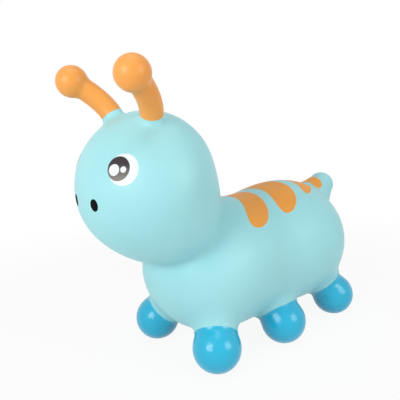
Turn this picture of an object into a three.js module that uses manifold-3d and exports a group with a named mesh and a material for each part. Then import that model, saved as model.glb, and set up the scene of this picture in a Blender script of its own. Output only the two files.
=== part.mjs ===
// Inflatable inchworm hopper: a ride-on toy of soft vinyl, blown up with air. One hollow skin makes
// the head, the saddle-backed trunk with its tail bud, six ball feet and two antennae for the hands.
// The skin is divided along its paint lines, and the printed marks lie on it as thin films.
// Millimetres. +X is forward, +Y is the toy's left, and Z is up from the floor.

import * as THREE from 'three';
import { mergeVertices } from 'three/addons/utils/BufferGeometryUtils.js';
import Module from 'manifold-3d';

// Skin and paint
const WALL = 2.5;
const JOIN_GAP = 0.3;
const FILM = 0.5;

// Grid that the forms are faceted on
const TRUNK_FACET = 17.5;
const HEAD_FACET = 22;
const TAIL_INNER_FACET = 16;
const INNER_FACET = 33;
const EVENING_PASSES = 4;
const ROUND_STEPS = 16;
const BORE_STEPS = 10;
const LATTICE = 0.005;

// Chest, rump and the saddle between them: swellings with half-sizes along X, Y and Z
const CHEST_X = 95;
const CHEST_HEIGHT = 140;
const CHEST_HALF_LENGTH = 108;
const CHEST_HALF_WIDTH = 113;
const CHEST_HALF_DEPTH = 106;
const RUMP_X = -105;
const RUMP_HEIGHT = 147.5;
const RUMP_HALF_LENGTH = 107.5;
const RUMP_HALF_WIDTH = 119;
const RUMP_HALF_DEPTH = 113;
const SADDLE_X = -5;
const SADDLE_HEIGHT = 144;
const SADDLE_HALF_LENGTH = 94;
const SADDLE_HALF_WIDTH = 102;
const SADDLE_HALF_DEPTH = 97.5;
const TRUNK_SOFTNESS = 35;
const SADDLE_SOFTNESS = 71;

// Tail bud, where the vinyl pools and is thicker
const TAIL_ROOT_X = -203;
const TAIL_ROOT_HEIGHT = 221.5;
const TAIL_ROOT_RADIUS = 34;
const TAIL_TIP_X = -224.5;
const TAIL_TIP_HEIGHT = 237;
const TAIL_TIP_RADIUS = 25.5;
const TAIL_SOFTNESS = 27;
const TAIL_WALL = 7;

// Head: a broad skull, nodded forward, on a nape
const SKULL_X = 211;
const SKULL_HEIGHT = 297.5;
const SKULL_HALF_LENGTH = 97;
const SKULL_HALF_WIDTH = 116.5;
const SKULL_HALF_DEPTH = 109;
const SKULL_NOD_DEG = 22;
const NAPE_X = 180;
const NAPE_HEIGHT = 249.5;
const NAPE_HALF_LENGTH = 75;
const NAPE_HALF_WIDTH = 98.5;
const NAPE_HALF_DEPTH = 82;
const NAPE_SOFTNESS = 35;

// Feet: balls on splayed necks, with soles flattened by the weight on them
const FOOT_RADIUS = 38.5;
const FOOT_FLATTENING = 2;
const LEG_RADIUS = 30.5;
const LEG_LENGTH = 75;
const LEG_SPLAY_DEG = 32;
const ANKLE_SOFTNESS = 8.5;
const LEG_SOFTNESS = 23;
const FOOT_ZONE_MARGIN = 6;
const FRONT_FOOT_X = 148;
const FRONT_FOOT_Y = 80;
const FRONT_FOOT_BEARING_DEG = 48.5;
const FRONT_PAINT_RISE = 32;
const MIDDLE_FOOT_X = 0;
const MIDDLE_FOOT_Y = 88;
const MIDDLE_FOOT_BEARING_DEG = 90;
const MIDDLE_PAINT_RISE = 25;
const REAR_FOOT_X = -160;
const REAR_FOOT_Y = 77.5;
const REAR_FOOT_BEARING_DEG = 140;
const REAR_PAINT_RISE = 36;

// Left antenna: a curved stalk with a ball tip, parted from its collar on a ball-shaped rim
const STALK_ROOT = new THREE.Vector3(226, 50, 394);
const STALK_BEND = new THREE.Vector3(232, 65, 421);
const STALK_TIP = new THREE.Vector3(273.5, 84, 450);
const STALK_RADIUS = 16.5;
const STALK_STEPS = 6;
const BALL_RADIUS = 24;
const RIM_RADIUS = 17.2;
const RIM_GAP = 0.7;
const RIM_STEPS = 24;

// Valve under the rump: a moulded seat and a push-in plug
const SEAT_RADIUS = 13;
const SEAT_DEPTH = 10;
const SEAT_RECESS = 2.5;
const BORE_RADIUS = 5;
const PLUG_HEAD_RADIUS = 10.5;
const PLUG_HEAD_THICKNESS = 2.6;
const PLUG_SHANK_LENGTH = 14;
const PLUG_CORE_RADIUS = 2.6;
const PLUG_CORE_DEPTH = 10;
const PLUG_CHAMFER = 0.8;

// Stripes over the back, seen from above and counted from the head: place of the middle, half-widths
// there and on the flanks, how far the ends sweep forward, and half the span
const STRIPE_1_X = 12.5;
const STRIPE_1_MIDDLE = 22.5;
const STRIPE_1_FLANK = 32;
const STRIPE_1_SWEEP = 41;
const STRIPE_1_HALF_SPAN = 86.5;
const STRIPE_2_X = -58.5;
const STRIPE_2_MIDDLE = 27;
const STRIPE_2_FLANK = 28;
const STRIPE_2_SWEEP = 28;
const STRIPE_2_HALF_SPAN = 80;
const STRIPE_3_X = -132;
const STRIPE_3_MIDDLE = 21;
const STRIPE_3_FLANK = 13.5;
const STRIPE_3_SWEEP = 34;
const STRIPE_3_HALF_SPAN = 64.5;
const STRIPE_4_X = -191;
const STRIPE_4_MIDDLE = 12.5;
const STRIPE_4_FLANK = 11.5;
const STRIPE_4_SWEEP = 5;
const STRIPE_4_HALF_SPAN = 27.5;
const STRIPE_STEPS = 7;
const STRIPE_END_POWER = 6;

// Face prints: bearing to each side of the face's middle and elevation, seen from the middle of the
// skull. The middle of the face is turned a little to the toy's right.
const FACE_TURN_DEG = -4.4;
const EYE_BEARING_DEG = 45.4;
const EYE_ELEVATION_DEG = 19;
const EYE_RADIUS = 21.7;
const PUPIL_BEARING_DEG = 41.3;
const PUPIL_ELEVATION_DEG = 19.8;
const PUPIL_RADIUS = 16.5;
const LARGE_GLINT_BEARING_DEG = 37.9;
const LARGE_GLINT_ELEVATION_DEG = 18.8;
const LARGE_GLINT_RADIUS = 7.8;
const SMALL_GLINT_BEARING_DEG = 45.9;
const SMALL_GLINT_ELEVATION_DEG = 18.8;
const SMALL_GLINT_RADIUS = 4.2;
const NOSTRIL_BEARING_DEG = 17.2;
const NOSTRIL_ELEVATION_DEG = -9;
const NOSTRIL_HALF_WIDTH = 7;
const NOSTRIL_HALF_HEIGHT = 8.5;
const PRINT_REACH = 20;

const UP = new THREE.Vector3(0, 0, 1);
const SIDES = [
  { word: 'left', sign: 1 },
  { word: 'right', sign: -1 },
];

const FINISHES = {
  turquoise: new THREE.MeshStandardMaterial({ color: '#a2e3ea', roughness: 0.5, metalness: 0 }),
  blue: new THREE.MeshStandardMaterial({ color: '#42b6dc', roughness: 0.35, metalness: 0 }),
  orange: new THREE.MeshStandardMaterial({ color: '#eba54f', roughness: 0.4, metalness: 0 }),
  white: new THREE.MeshStandardMaterial({ color: '#eefcfb', roughness: 0.45, metalness: 0 }),
  charcoal: new THREE.MeshStandardMaterial({ color: '#5f5a5c', roughness: 0.45, metalness: 0 }),
  black: new THREE.MeshStandardMaterial({ color: '#14151c', roughness: 0.5, metalness: 0 }),
};

const wasm = await Module();
wasm.setup();

const degrees = THREE.MathUtils.degToRad;

// A soft form: a box that holds it, and its distance from any point, negative inside.
class Form {
  constructor(box, distance) {
    this.box = box;
    this.distance = distance;
  }

  // Joins another form to this one with a fillet as large as the softness.
  blend(other, softness) {
    const distance = (x, y, z) => {
      const a = this.distance(x, y, z);
      const b = other.distance(x, y, z);
      const nearness = Math.max(softness - Math.abs(a - b), 0) / softness;
      return Math.min(a, b) - (nearness * nearness * softness) / 4;
    };
    return new Form(this.box.clone().union(other.box), distance);
  }

  // The same form, smaller by a wall all over.
  inset(wall) {
    return new Form(this.box, (x, y, z) => this.distance(x, y, z) + wall);
  }

  // The left half of the form, and its mirror image on the right.
  mirrored() {
    const box = this.box.clone();
    box.min.y = -box.max.y;
    return new Form(box, (x, y, z) => this.distance(x, Math.abs(y), z));
  }

  slope(point) {
    const step = 0.01;
    const { x, y, z } = point;
    return new THREE.Vector3(
      this.distance(x + step, y, z) - this.distance(x - step, y, z),
      this.distance(x, y + step, z) - this.distance(x, y - step, z),
      this.distance(x, y, z + step) - this.distance(x, y, z - step),
    ).divideScalar(2 * step);
  }

  normal(point) {
    return this.slope(point).normalize();
  }

  // Moves a point down the slope until it lies on the surface.
  settle(point) {
    const tries = 6;
    for (let i = 0; i < tries; i += 1) {
      const slope = this.slope(point);
      const depth = this.distance(point.x, point.y, point.z);
      point.addScaledVector(slope, -depth / slope.lengthSq());
    }
    return point;
  }

  // The point where a ray from inside the form leaves it.
  leave(origin, direction) {
    const steps = 60;
    const point = origin.clone();
    for (let i = 0; i < steps; i += 1) {
      point.addScaledVector(direction, -this.distance(point.x, point.y, point.z));
    }
    return point;
  }
}

// An egg with half-sizes along its own X, Y and Z, nodded about Y.
function egg(centre, half, nod = 0) {
  const cos = Math.cos(nod);
  const sin = Math.sin(nod);
  const reach = Math.max(half.x, half.y, half.z);
  const box = new THREE.Box3().setFromCenterAndSize(centre, new THREE.Vector3().setScalar(2 * reach));
  const distance = (x, y, z) => {
    const along = x - centre.x;
    const above = z - centre.z;
    const a = (cos * along + sin * above) / half.x;
    const b = (y - centre.y) / half.y;
    const c = (cos * above - sin * along) / half.z;
    const share = Math.hypot(a, b, c);
    const steepness = Math.hypot(a / half.x, b / half.y, c / half.z);
    return steepness > 0 ? (share * (share - 1)) / steepness : -half.z;
  };
  return new Form(box, distance);
}

// A bar with round ends, whose radius changes evenly from one end to the other.
function bar(from, to, fromRadius, toRadius) {
  const run = to.clone().sub(from);
  const lengthSq = Math.max(run.lengthSq(), Number.EPSILON);
  const box = new THREE.Box3().setFromPoints([from, to]);
  box.expandByScalar(Math.max(fromRadius, toRadius));
  const distance = (x, y, z) => {
    const dx = x - from.x;
    const dy = y - from.y;
    const dz = z - from.z;
    const share = THREE.MathUtils.clamp((dx * run.x + dy * run.y + dz * run.z) / lengthSq, 0, 1);
    const off = Math.hypot(dx - share * run.x, dy - share * run.y, dz - share * run.z);
    return off - fromRadius - share * (toRadius - fromRadius);
  };
  return new Form(box, distance);
}

function ball(centre, radius) {
  return bar(centre, centre, radius, radius);
}

// Facets a form on a grid: each cell that the surface crosses gets one corner, which is drawn onto
// the surface and evened out among its neighbours.
function facet(form, cell) {
  const low = form.box.min.clone().divideScalar(cell).floor().subScalar(2);
  const high = form.box.max.clone().divideScalar(cell).ceil().addScalar(2);
  const counts = high.clone().sub(low).addScalar(1).toArray();
  const strides = [1, counts[0], counts[0] * counts[1]];
  const inside = new Uint8Array(counts[0] * counts[1] * counts[2]);
  const at = (i, j, k) => i + j * strides[1] + k * strides[2];
  const place = (i, j, k) => new THREE.Vector3(i, j, k).add(low).multiplyScalar(cell);

  for (let k = 0; k < counts[2]; k += 1) {
    for (let j = 0; j < counts[1]; j += 1) {
      for (let i = 0; i < counts[0]; i += 1) {
        inside[at(i, j, k)] = form.distance(...place(i, j, k)) < 0 ? 1 : 0;
      }
    }
  }

  // Where four samples alternate round a grid square, the surface would pinch, so the square is filled.
  const squares = [[strides[0], strides[1]], [strides[1], strides[2]], [strides[2], strides[0]]];
  let pinched = true;
  while (pinched) {
    pinched = false;
    for (const [u, v] of squares) {
      for (let index = 0; index + u + v < inside.length; index += 1) {
        const diagonal = inside[index] + inside[index + u + v];
        const other = inside[index + u] + inside[index + v];
        if (Math.abs(diagonal - other) === 2) {
          [index, index + u, index + v, index + u + v].forEach((n) => inside.fill(1, n, n + 1));
          pinched = true;
        }
      }
    }
  }

  const corners = [];
  const cornerIn = new Map();
  const quads = [];
  const cornerOfCell = (index) => {
    if (!cornerIn.has(index)) {
      const k = Math.floor(index / strides[2]);
      const j = Math.floor((index - k * strides[2]) / strides[1]);
      const i = index - k * strides[2] - j * strides[1];
      cornerIn.set(index, corners.length);
      corners.push(form.settle(place(i + 0.5, j + 0.5, k + 0.5)));
    }
    return cornerIn.get(index);
  };
  for (let axis = 0; axis < 3; axis += 1) {
    const along = strides[axis];
    const u = strides[(axis + 1) % 3];
    const v = strides[(axis + 2) % 3];
    for (let index = u + v; index < inside.length - along; index += 1) {
      if (inside[index] !== inside[index + along]) {
        const ring = [index - u - v, index - v, index, index - u].map(cornerOfCell);
        quads.push(inside[index] ? ring : ring.reverse());
      }
    }
  }

  const neighbours = corners.map(() => new Set());
  for (const quad of quads) {
    quad.forEach((corner, n) => {
      neighbours[corner].add(quad[(n + 1) % 4]);
      neighbours[quad[(n + 1) % 4]].add(corner);
    });
  }
  for (let pass = 0; pass < EVENING_PASSES; pass += 1) {
    const evened = neighbours.map((around) => {
      const mean = new THREE.Vector3();
      around.forEach((corner) => mean.add(corners[corner]));
      return form.settle(mean.divideScalar(around.size));
    });
    corners.forEach((corner, n) => corner.copy(evened[n]));
  }

  const triangles = quads.flatMap(([a, b, c, d]) => {
    const acrossAC = corners[a].distanceTo(corners[c]);
    const acrossBD = corners[b].distanceTo(corners[d]);
    return acrossAC < acrossBD ? [a, b, c, a, c, d] : [a, b, d, b, c, d];
  });
  const geometry = new THREE.BufferGeometry();
  geometry.setAttribute('position', new THREE.Float32BufferAttribute(corners.flatMap((p) => p.toArray()), 3));
  geometry.setIndex(triangles);
  return geometry;
}

// A faceted form with every corner moved out along the surface normal.
function swollen(geometry, form, rise) {
  const moved = geometry.clone();
  const position = moved.getAttribute('position');
  const point = new THREE.Vector3();
  for (let n = 0; n < position.count; n += 1) {
    point.fromBufferAttribute(position, n);
    point.addScaledVector(form.normal(point), rise);
    position.setXYZ(n, point.x, point.y, point.z);
  }
  return moved;
}

// Corners that are shared once only, and the triangles that are left with three of them. Two triangles
// that lie back to back have nothing between them, and both go.
function welded(geometry) {
  const bare = geometry.clone();
  bare.deleteAttribute('normal');
  bare.deleteAttribute('uv');
  const merged = mergeVertices(bare);
  const corners = Array.from(merged.index.array);
  const kept = new Map();
  for (let n = 0; n < corners.length; n += 3) {
    const triangle = corners.slice(n, n + 3);
    const key = [...triangle].sort((a, b) => a - b).join();
    if (new Set(triangle).size === 3 && !kept.delete(key)) {
      kept.set(key, triangle);
    }
  }
  merged.setIndex([...kept.values()].flat());
  return merged;
}

function solid(geometry) {
  const closed = welded(geometry);
  return new wasm.Manifold(new wasm.Mesh({
    numProp: 3,
    vertProperties: new Float32Array(closed.getAttribute('position').array),
    triVerts: new Uint32Array(closed.index.array),
  }));
}

// A named piece, with its corners on a fine lattice so that no two are closer than that.
function piece(name, shape, finish) {
  const { vertProperties, triVerts, numProp } = shape.getMesh();
  const positions = [];
  for (let n = 0; n < vertProperties.length; n += numProp) {
    const corner = vertProperties.subarray(n, n + 3);
    positions.push(...corner.map((value) => Math.round(value / LATTICE) * LATTICE));
  }
  const geometry = new THREE.BufferGeometry();
  geometry.setAttribute('position', new THREE.Float32BufferAttribute(positions, 3));
  geometry.setIndex(Array.from(triVerts));
  const mesh = new THREE.Mesh(welded(geometry), FINISHES[finish]);
  mesh.geometry.computeVertexNormals();
  mesh.name = name;
  return mesh;
}

// Everything below a height, as a block to cut with.
function groundBelow(height) {
  const size = 4 * (CHEST_HALF_LENGTH + RUMP_HALF_LENGTH);
  const block = new THREE.BoxGeometry(size, size, FOOT_RADIUS);
  block.translate(0, 0, height - FOOT_RADIUS / 2);
  return solid(block);
}

// A disc or oval post that stands on a point, square to a direction, to cut out a print.
function post(point, direction, halfWidth, halfHeight, reach) {
  const cylinder = new THREE.CylinderGeometry(1, 1, 2 * reach, ROUND_STEPS);
  cylinder.rotateX(Math.PI / 2);
  cylinder.scale(halfWidth, halfHeight, 1);
  const across = new THREE.Vector3().crossVectors(UP, direction).normalize();
  const upright = new THREE.Vector3().crossVectors(direction, across);
  cylinder.applyMatrix4(new THREE.Matrix4().makeBasis(across, upright, direction).setPosition(point));
  return solid(cylinder);
}

const feet = [
  {
    word: 'front',
    x: FRONT_FOOT_X,
    y: FRONT_FOOT_Y,
    bearing: FRONT_FOOT_BEARING_DEG,
    rise: FRONT_PAINT_RISE,
  },
  {
    word: 'middle',
    x: MIDDLE_FOOT_X,
    y: MIDDLE_FOOT_Y,
    bearing: MIDDLE_FOOT_BEARING_DEG,
    rise: MIDDLE_PAINT_RISE,
  },
  {
    word: 'rear',
    x: REAR_FOOT_X,
    y: REAR_FOOT_Y,
    bearing: REAR_FOOT_BEARING_DEG,
    rise: REAR_PAINT_RISE,
  },
];
const footHeight = FOOT_RADIUS - FOOT_FLATTENING;

// The way a leg points, down and out from the trunk.
function legAxis(foot, sign) {
  const splay = degrees(LEG_SPLAY_DEG);
  const bearing = degrees(foot.bearing);
  const out = Math.sin(splay);
  return new THREE.Vector3(out * Math.cos(bearing), sign * out * Math.sin(bearing), -Math.cos(splay));
}

// The turn that lays an upright drum along a leg.
function legTurn(foot, sign) {
  return new THREE.Quaternion().setFromUnitVectors(new THREE.Vector3(0, 1, 0), legAxis(foot, sign));
}

function legForm(foot) {
  const centre = new THREE.Vector3(foot.x, foot.y, footHeight);
  const hip = centre.clone().addScaledVector(legAxis(foot, 1), -LEG_LENGTH);
  return bar(centre, hip, LEG_RADIUS, LEG_RADIUS).blend(ball(centre, FOOT_RADIUS), ANKLE_SOFTNESS);
}

// The foot's side of a paint line: a drum along the leg, from the line to past the sole.
function footZone(foot, sign, grow) {
  const rise = foot.rise + grow;
  const radius = FOOT_RADIUS + FOOT_ZONE_MARGIN + grow;
  const drum = new THREE.CylinderGeometry(radius, radius, rise + radius, ROUND_STEPS);
  drum.translate(0, (radius - rise) / 2, 0);
  drum.applyQuaternion(legTurn(foot, sign));
  return solid(drum.translate(foot.x, sign * foot.y, footHeight));
}

// The air space of one leg: a bore that ends in a ball, flat above the sole.
function legHollow(foot, sign) {
  const bore = new THREE.CylinderGeometry(LEG_RADIUS - WALL, LEG_RADIUS - WALL, LEG_LENGTH, BORE_STEPS);
  bore.translate(0, -LEG_LENGTH / 2, 0);
  bore.applyQuaternion(legTurn(foot, sign));
  const round = new THREE.SphereGeometry(FOOT_RADIUS - WALL, BORE_STEPS, BORE_STEPS / 2);
  round.rotateX(Math.PI / 2);
  const place = [foot.x, sign * foot.y, footHeight];
  return solid(bore.translate(...place)).add(solid(round.translate(...place))).subtract(groundBelow(WALL));
}

// Trunk, with the tail bud and the six legs grown out of it
const chest = egg(
  new THREE.Vector3(CHEST_X, 0, CHEST_HEIGHT),
  new THREE.Vector3(CHEST_HALF_LENGTH, CHEST_HALF_WIDTH, CHEST_HALF_DEPTH),
);
const rump = egg(
  new THREE.Vector3(RUMP_X, 0, RUMP_HEIGHT),
  new THREE.Vector3(RUMP_HALF_LENGTH, RUMP_HALF_WIDTH, RUMP_HALF_DEPTH),
);
const saddle = egg(
  new THREE.Vector3(SADDLE_X, 0, SADDLE_HEIGHT),
  new THREE.Vector3(SADDLE_HALF_LENGTH, SADDLE_HALF_WIDTH, SADDLE_HALF_DEPTH),
);
const tail = bar(
  new THREE.Vector3(TAIL_ROOT_X, 0, TAIL_ROOT_HEIGHT),
  new THREE.Vector3(TAIL_TIP_X, 0, TAIL_TIP_HEIGHT),
  TAIL_ROOT_RADIUS,
  TAIL_TIP_RADIUS,
);
const seat = chest.blend(rump, TRUNK_SOFTNESS).blend(saddle, SADDLE_SOFTNESS);
const trunkForm = feet.reduce(
  (trunk, foot) => trunk.blend(legForm(foot), LEG_SOFTNESS),
  seat.blend(tail, TAIL_SOFTNESS),
).mirrored();

// Head
const skullCentre = new THREE.Vector3(SKULL_X, 0, SKULL_HEIGHT);
const skull = egg(
  skullCentre,
  new THREE.Vector3(SKULL_HALF_LENGTH, SKULL_HALF_WIDTH, SKULL_HALF_DEPTH),
  degrees(SKULL_NOD_DEG),
);
const nape = egg(
  new THREE.Vector3(NAPE_X, 0, NAPE_HEIGHT),
  new THREE.Vector3(NAPE_HALF_LENGTH, NAPE_HALF_WIDTH, NAPE_HALF_DEPTH),
);
const headForm = skull.blend(nape, NAPE_SOFTNESS);

// The air space that a form leaves inside its wall
const hollowOf = (form, wall, cell) => solid(facet(form.inset(wall), cell));

const trunkFacets = facet(trunkForm, TRUNK_FACET);
const headFacets = facet(headForm, HEAD_FACET);
const trunkOuter = solid(trunkFacets).subtract(groundBelow(0));
const headOuter = solid(headFacets);
const bodyHollow = [
  hollowOf(seat, WALL, INNER_FACET),
  hollowOf(tail, TAIL_WALL, TAIL_INNER_FACET),
  hollowOf(skull, WALL, INNER_FACET),
  hollowOf(nape, WALL, INNER_FACET),
  ...SIDES.flatMap(({ sign }) => feet.map((foot) => legHollow(foot, sign))),
].reduce((whole, part) => whole.add(part));

// A round bar that follows a curve.
function tube(curve, radius, sides) {
  const section = new THREE.Shape(new THREE.EllipseCurve(0, 0, radius, radius).getPoints(sides).slice(1));
  return solid(new THREE.ExtrudeGeometry(section, { steps: STALK_STEPS, extrudePath: curve }));
}

function sphere(centre, radius, sides) {
  return solid(new THREE.SphereGeometry(radius, sides, sides / 2).translate(...centre));
}

// Antenna of one side: the grip, and the collar on the head that it parts from
function antennaOn(sign) {
  const handed = (point) => new THREE.Vector3(point.x, sign * point.y, point.z);
  const root = handed(STALK_ROOT);
  const tip = handed(STALK_TIP);
  const curve = new THREE.QuadraticBezierCurve3(root, handed(STALK_BEND), tip);
  const sunk = root.clone().addScaledVector(curve.getTangent(0), -RIM_RADIUS);
  const raised = root.clone().addScaledVector(curve.getTangent(0), RIM_RADIUS);
  const collar = new THREE.LineCurve3(sunk, raised);
  const inner = STALK_RADIUS - WALL;
  const outside = tube(curve, STALK_RADIUS, ROUND_STEPS).add(sphere(tip, BALL_RADIUS, ROUND_STEPS));
  const inside = tube(curve, inner, BORE_STEPS).add(sphere(tip, BALL_RADIUS - WALL, BORE_STEPS));
  return {
    grip: outside.subtract(inside).subtract(sphere(root, RIM_RADIUS + RIM_GAP, RIM_STEPS)),
    collar: tube(collar, STALK_RADIUS, ROUND_STEPS).intersect(sphere(root, RIM_RADIUS, RIM_STEPS)),
    collarHollow: tube(collar, inner, BORE_STEPS),
  };
}

// Valve: a thick ring moulded inside the rump, with a flat recess for the plug's head
const belly = trunkForm.leave(
  new THREE.Vector3(RUMP_X, 0, RUMP_HEIGHT),
  new THREE.Vector3(0, 0, -1),
);

function revolved(profile) {
  const geometry = new THREE.LatheGeometry(profile.map(([r, h]) => new THREE.Vector2(r, h)), ROUND_STEPS);
  geometry.rotateX(Math.PI / 2);
  geometry.translate(belly.x, belly.y, belly.z);
  return solid(geometry);
}

const valveSeat = revolved([
  [0, 0],
  [SEAT_RADIUS, 0],
  [SEAT_RADIUS, SEAT_DEPTH],
  [0, SEAT_DEPTH],
]).intersect(trunkOuter);
const recessRadius = PLUG_HEAD_RADIUS + JOIN_GAP;
const valveBore = revolved([
  [0, -SEAT_DEPTH],
  [recessRadius, -SEAT_DEPTH],
  [recessRadius, SEAT_RECESS],
  [BORE_RADIUS, SEAT_RECESS],
  [BORE_RADIUS, SEAT_DEPTH + WALL],
  [0, SEAT_DEPTH + WALL],
]);
const plugSeat = SEAT_RECESS - JOIN_GAP;
const plugFace = plugSeat - PLUG_HEAD_THICKNESS;
const plugEnd = plugSeat + PLUG_SHANK_LENGTH;
const shankRadius = BORE_RADIUS - JOIN_GAP;
const valvePlug = revolved([
  [0, plugFace],
  [PLUG_HEAD_RADIUS - PLUG_CHAMFER, plugFace],
  [PLUG_HEAD_RADIUS, plugFace + PLUG_CHAMFER],
  [PLUG_HEAD_RADIUS, plugSeat],
  [shankRadius, plugSeat],
  [shankRadius, plugEnd - PLUG_CHAMFER],
  [shankRadius - PLUG_CHAMFER, plugEnd],
  [PLUG_CORE_RADIUS, plugEnd],
  [PLUG_CORE_RADIUS, plugEnd - PLUG_CORE_DEPTH],
  [0, plugEnd - PLUG_CORE_DEPTH],
]);

const stripes = [
  {
    x: STRIPE_1_X,
    middle: STRIPE_1_MIDDLE,
    flank: STRIPE_1_FLANK,
    sweep: STRIPE_1_SWEEP,
    halfSpan: STRIPE_1_HALF_SPAN,
  },
  {
    x: STRIPE_2_X,
    middle: STRIPE_2_MIDDLE,
    flank: STRIPE_2_FLANK,
    sweep: STRIPE_2_SWEEP,
    halfSpan: STRIPE_2_HALF_SPAN,
  },
  {
    x: STRIPE_3_X,
    middle: STRIPE_3_MIDDLE,
    flank: STRIPE_3_FLANK,
    sweep: STRIPE_3_SWEEP,
    halfSpan: STRIPE_3_HALF_SPAN,
  },
  {
    x: STRIPE_4_X,
    middle: STRIPE_4_MIDDLE,
    flank: STRIPE_4_FLANK,
    sweep: STRIPE_4_SWEEP,
    halfSpan: STRIPE_4_HALF_SPAN,
  },
];

// Outline of a stripe from above: a band whose round ends sweep forward
function stripeOutline(stripe) {
  const edge = (turn, front) => {
    const share = Math.sin(turn);
    const width = THREE.MathUtils.lerp(stripe.middle, stripe.flank, share * share);
    const half = width * Math.sqrt(Math.max(1 - Math.abs(share) ** STRIPE_END_POWER, 0));
    return new THREE.Vector2(stripe.x + stripe.sweep * share * share + front * half, share * stripe.halfSpan);
  };
  const turns = Array.from({ length: 2 * STRIPE_STEPS }, (_, n) => (n / STRIPE_STEPS - 1) * (Math.PI / 2));
  const forward = turns.map((turn) => edge(turn, 1));
  const back = turns.map((turn) => edge(-turn, -1));
  return new THREE.Shape([...forward, ...back]);
}

const group = new THREE.Group();
const antennae = SIDES.map(({ sign }) => antennaOn(sign));

// The whole skin, then its feet, body and antennae along the paint lines
const skinOuter = antennae.reduce((whole, { collar }) => whole.add(collar), trunkOuter.add(headOuter));
const skinHollow = antennae.reduce((whole, { collarHollow }) => whole.add(collarHollow), bodyHollow);
let bodySkin = skinOuter.subtract(skinHollow).add(valveSeat).subtract(valveBore);
SIDES.forEach(({ word, sign }, n) => {
  for (const foot of feet) {
    const footSkin = trunkOuter.intersect(footZone(foot, sign, 0)).subtract(legHollow(foot, sign));
    bodySkin = bodySkin.subtract(footZone(foot, sign, JOIN_GAP));
    group.add(piece(`foot_${foot.word}_${word}`, footSkin, 'blue'));
  }
  group.add(piece(`antenna_${word}`, antennae[n].grip, 'orange'));
});
group.add(piece('body_skin', bodySkin, 'turquoise'));
group.add(piece('valve_plug', valvePlug, 'white'));

// Films of paint, a little proud of the skin
function filmOver(facets, form) {
  const under = solid(swollen(facets, form, JOIN_GAP));
  return solid(swollen(facets, form, JOIN_GAP + FILM)).subtract(under);
}

const trunkFilm = filmOver(trunkFacets, trunkForm);
const headFilm = filmOver(headFacets, headForm);

stripes.forEach((stripe, n) => {
  const band = new THREE.ExtrudeGeometry(stripeOutline(stripe), {
    depth: RUMP_HEIGHT + RUMP_HALF_DEPTH,
    bevelEnabled: false,
  });
  band.translate(0, 0, RUMP_HEIGHT);
  group.add(piece(`back_stripe_${n + 1}`, trunkFilm.intersect(solid(band)), 'orange'));
});

// A post on one side of the face that cuts a print out of the film.
function print(sign, bearing, elevation, halfWidth, halfHeight) {
  const turn = degrees(FACE_TURN_DEG + sign * bearing);
  const lift = degrees(elevation);
  const out = Math.cos(lift);
  const direction = new THREE.Vector3(out * Math.cos(turn), out * Math.sin(turn), Math.sin(lift));
  const point = headForm.leave(skullCentre, direction);
  return post(point, headForm.normal(point), halfWidth, halfHeight, PRINT_REACH);
}

// The prints of one eye, each grown by a gap where it is cut out of the one below it.
function eyePrints(sign, grow) {
  const round = (bearing, elevation, radius) => print(sign, bearing, elevation, radius + grow, radius + grow);
  return {
    white: round(EYE_BEARING_DEG, EYE_ELEVATION_DEG, EYE_RADIUS),
    pupil: round(PUPIL_BEARING_DEG, PUPIL_ELEVATION_DEG, PUPIL_RADIUS),
    large: round(LARGE_GLINT_BEARING_DEG, LARGE_GLINT_ELEVATION_DEG, LARGE_GLINT_RADIUS),
    small: round(SMALL_GLINT_BEARING_DEG, SMALL_GLINT_ELEVATION_DEG, SMALL_GLINT_RADIUS),
  };
}

for (const { word, sign } of SIDES) {
  const eye = eyePrints(sign, 0);
  const gap = eyePrints(sign, JOIN_GAP);
  const nostril = print(
    sign,
    NOSTRIL_BEARING_DEG,
    NOSTRIL_ELEVATION_DEG,
    NOSTRIL_HALF_WIDTH,
    NOSTRIL_HALF_HEIGHT,
  );
  const pupilFilm = headFilm.intersect(eye.pupil).subtract(gap.large).subtract(gap.small);
  group.add(piece(`eye_white_${word}`, headFilm.intersect(eye.white).subtract(gap.pupil), 'white'));
  group.add(piece(`pupil_${word}`, pupilFilm, 'charcoal'));
  group.add(piece(`eye_glint_large_${word}`, headFilm.intersect(eye.large), 'white'));
  group.add(piece(`eye_glint_small_${word}`, headFilm.intersect(eye.small), 'white'));
  group.add(piece(`nostril_${word}`, headFilm.intersect(nostril), 'black'));
}

// The origin lies on the floor, under the middle of the toy's length
const middle = new THREE.Box3().setFromObject(group).getCenter(new THREE.Vector3());
group.position.x = -middle.x;

export default group;
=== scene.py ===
"""Looks of an inflatable inchworm hopper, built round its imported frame.

The toy is one blown-up skin of soft vinyl: a head on a saddle-backed trunk with a tail bud, six ball feet
and two antennae for the hands. The skin is faceted finely from smooth forms and parted along its paint
lines. Stripes, eyes and nostrils lie on it as thin films of paint, and a plug closes the valve below.

Sizes are millimetres in the toy's own frame, with +X forward, +Y to its left and Z up from the floor.
"""

import logging
import math
from abc import ABC, abstractmethod
from dataclasses import dataclass, field
from enum import Enum
from typing import Any

import bmesh
import bpy
import numpy as np
from mathutils import Matrix, Vector
from numpy.typing import NDArray


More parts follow.
